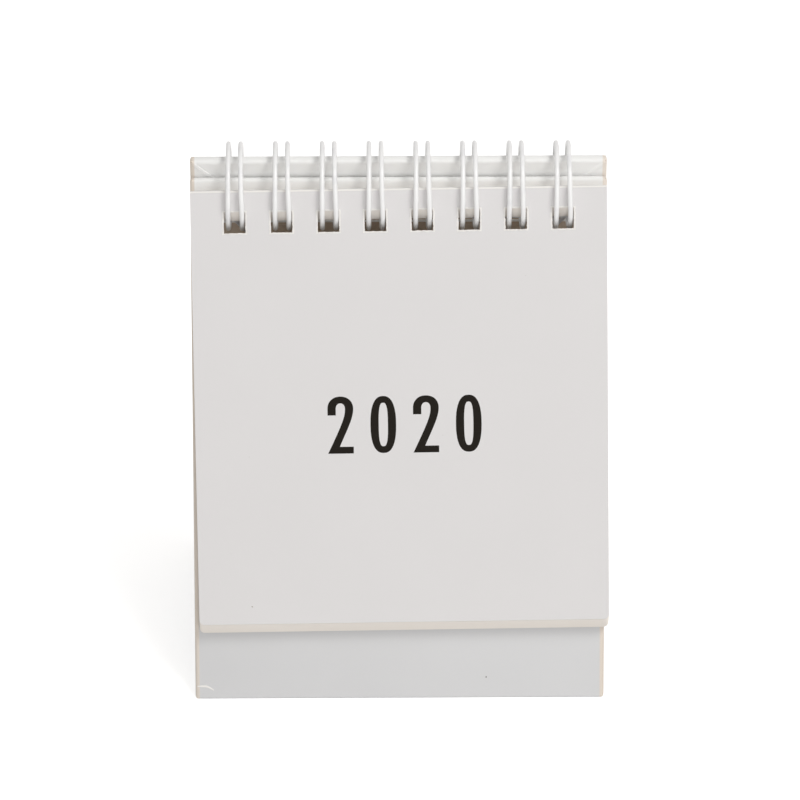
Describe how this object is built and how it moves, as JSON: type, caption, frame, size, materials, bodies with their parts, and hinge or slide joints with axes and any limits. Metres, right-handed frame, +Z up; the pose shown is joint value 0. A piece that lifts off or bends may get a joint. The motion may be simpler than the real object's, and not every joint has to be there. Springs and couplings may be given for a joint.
{
  "type": "desk flip calendar",
  "caption": "Small tent-shaped desk calendar: portrait leaves on a twin-loop wire at the top of a folding paper-covered board stand with a creased base.",
  "frame": {"origin": "on the table under the ring axis, at the middle of the width", "axes": "+X along the binding, -Y towards the reader, +Z up"},
  "size_m": [0.0762, 0.0552, 0.1013],
  "materials": {
    "grey_board": "raw grey board",
    "wrap_paper": "matte white wrap paper",
    "base_card": "matte white card",
    "hinge_paper": "matte white paper tape",
    "coated_wire": "white nylon coating, satin",
    "cover_paper": "uncoated matte card",
    "leaf_paper": "uncoated matte paper"
  },
  "bodies": {
    "front_stand": {"front_board_core": "grey_board", "front_board_wrap": "wrap_paper", "binding_wire": "coated_wire"},
    "back_stand": {"back_board_core": "grey_board", "back_board_wrap": "wrap_paper"},
    "base_front": {"base_front_card": "base_card", "base_front_facing": "wrap_paper", "base_front_hinge_strip": "hinge_paper", "base_fold_strip": "hinge_paper"},
    "base_rear": {"base_rear_card": "base_card", "base_rear_facing": "wrap_paper", "base_rear_hinge_strip": "hinge_paper"},
    "cover": {"cover_leaf": "cover_paper"},
    "month_01": {"month_leaf_01": "leaf_paper"},
    "month_02": {"month_leaf_02": "leaf_paper"},
    "month_03": {"month_leaf_03": "leaf_paper"},
    "month_04": {"month_leaf_04": "leaf_paper"},
    "month_05": {"month_leaf_05": "leaf_paper"},
    "month_06": {"month_leaf_06": "leaf_paper"},
    "month_07": {"month_leaf_07": "leaf_paper"},
    "month_08": {"month_leaf_08": "leaf_paper"},
    "month_09": {"month_leaf_09": "leaf_paper"},
    "month_10": {"month_leaf_10": "leaf_paper"},
    "month_11": {"month_leaf_11": "leaf_paper"},
    "month_12": {"month_leaf_12": "leaf_paper"},
    "notes": {"notes_leaf": "leaf_paper"}
  },
  "joints": [
    {"name": "stand_fold", "type": "hinge", "parent": "front_stand", "child": "back_stand", "pos_m": [0, 0, 0.09313], "axis": [-1, 0, 0], "range_deg": [0, 24]},
    {"name": "base_front_fold", "type": "hinge", "parent": "front_stand", "child": "base_front", "pos_m": [0, -0.02489, 0.0018], "axis": [1, 0, 0], "range_deg": [0, 33.1], "deforming": ["base_fold_strip"]},
    {"name": "base_rear_fold", "type": "hinge", "parent": "back_stand", "child": "base_rear", "pos_m": [0, 0.02489, 0.0018], "axis": [-1, 0, 0], "range_deg": [0, 33.1]},
    {"name": "cover_turn", "type": "hinge", "parent": "front_stand", "child": "cover", "pos_m": [0, 0, 0.09313], "axis": [-1, 0, 0], "range_deg": [0, 200]},
    {"name": "month_01_turn", "type": "hinge", "parent": "front_stand", "child": "month_01", "pos_m": [0, 0, 0.09313], "axis": [-1, 0, 0], "range_deg": [0, 57.6]},
    {"name": "month_02_turn", "type": "hinge", "parent": "front_stand", "child": "month_02", "pos_m": [0, 0, 0.09313], "axis": [-1, 0, 0], "range_deg": [0, 56.1]},
    {"name": "month_03_turn", "type": "hinge", "parent": "front_stand", "child": "month_03", "pos_m": [0, 0, 0.09313], "axis": [-1, 0, 0], "range_deg": [0, 52.1]},
    {"name": "month_04_turn", "type": "hinge", "parent": "front_stand", "child": "month_04", "pos_m": [0, 0, 0.09313], "axis": [-1, 0, 0], "range_deg": [0, 48.1]},
    {"name": "month_05_turn", "type": "hinge", "parent": "front_stand", "child": "month_05", "pos_m": [0, 0, 0.09313], "axis": [-1, 0, 0], "range_deg": [0, 44.1]},
    {"name": "month_06_turn", "type": "hinge", "parent": "front_stand", "child": "month_06", "pos_m": [0, 0, 0.09313], "axis": [-1, 0, 0], "range_deg": [0, 40.1]},
    {"name": "month_07_turn", "type": "hinge", "parent": "front_stand", "child": "month_07", "pos_m": [0, 0, 0.09313], "axis": [-1, 0, 0], "range_deg": [0, 36.1]},
    {"name": "month_08_turn", "type": "hinge", "parent": "front_stand", "child": "month_08", "pos_m": [0, 0, 0.09313], "axis": [-1, 0, 0], "range_deg": [0, 32.1]},
    {"name": "month_09_turn", "type": "hinge", "parent": "front_stand", "child": "month_09", "pos_m": [0, 0, 0.09313], "axis": [-1, 0, 0], "range_deg": [0, 28.1]},
    {"name": "month_10_turn", "type": "hinge", "parent": "front_stand", "child": "month_10", "pos_m": [0, 0, 0.09313], "axis": [-1, 0, 0], "range_deg": [0, 24.1]},
    {"name": "month_11_turn", "type": "hinge", "parent": "front_stand", "child": "month_11", "pos_m": [0, 0, 0.09313], "axis": [-1, 0, 0], "range_deg": [0, 20.1]},
    {"name": "month_12_turn", "type": "hinge", "parent": "front_stand", "child": "month_12", "pos_m": [0, 0, 0.09313], "axis": [-1, 0, 0], "range_deg": [0, 16.1]},
    {"name": "notes_turn", "type": "hinge", "parent": "front_stand", "child": "notes", "pos_m": [0, 0, 0.09313], "axis": [-1, 0, 0], "range_deg": [0, 12.1]}
  ],
  "couplings": [
    {"joint": "base_front_fold", "follows": "stand_fold", "ratio": 1.375},
    {"joint": "base_rear_fold", "follows": "stand_fold", "ratio": 1.375},
    {"joint": "month_01_turn", "follows": "cover_turn", "ratio": 0.2875},
    {"joint": "month_02_turn", "follows": "cover_turn", "ratio": 0.28},
    {"joint": "month_03_turn", "follows": "cover_turn", "ratio": 0.26},
    {"joint": "month_04_turn", "follows": "cover_turn", "ratio": 0.24},
    {"joint": "month_05_turn", "follows": "cover_turn", "ratio": 0.22},
    {"joint": "month_06_turn", "follows": "cover_turn", "ratio": 0.2},
    {"joint": "month_07_turn", "follows": "cover_turn", "ratio": 0.18},
    {"joint": "month_08_turn", "follows": "cover_turn", "ratio": 0.16},
    {"joint": "month_09_turn", "follows": "cover_turn", "ratio": 0.14},
    {"joint": "month_10_turn", "follows": "cover_turn", "ratio": 0.12},
    {"joint": "month_11_turn", "follows": "cover_turn", "ratio": 0.1},
    {"joint": "month_12_turn", "follows": "cover_turn", "ratio": 0.08},
    {"joint": "notes_turn", "follows": "cover_turn", "ratio": 0.06}
  ]
}
